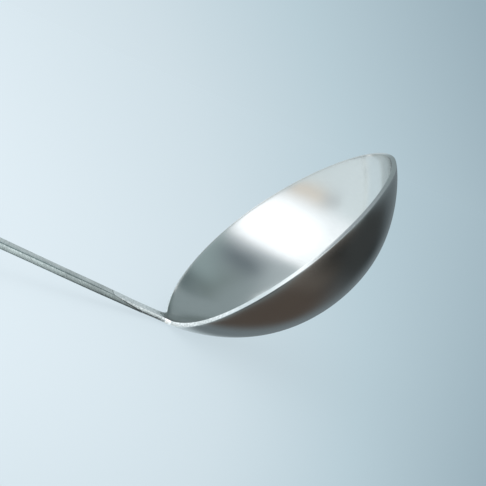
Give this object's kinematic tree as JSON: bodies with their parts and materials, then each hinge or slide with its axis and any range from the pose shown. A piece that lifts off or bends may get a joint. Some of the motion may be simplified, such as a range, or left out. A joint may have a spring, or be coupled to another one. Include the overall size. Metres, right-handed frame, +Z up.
{
  "type": "soup spoon",
  "caption": "Satin steel soup spoon with a deep, pointed-oval pressed bowl that stands steeply to a slender bar handle, which widens to a rounded end.",
  "frame": {"origin": "on the table, under the middle of the bounding box, with the spoon lying on the heel of its bowl and the end of its handle", "axes": "+X from the handle's end to the bowl along the spoon's length, +Z up from the table, and +Y across the spoon, which is the same on both sides"},
  "size_m": [0.1914, 0.0456, 0.0617],
  "materials": {
    "bowl_steel": "satin bowl, cross-ground rim and neck",
    "handle_steel": "satin, ground across the bar"
  },
  "bodies": {
    "root": {"bowl": "bowl_steel", "handle": "handle_steel"}
  },
  "joints": []
}
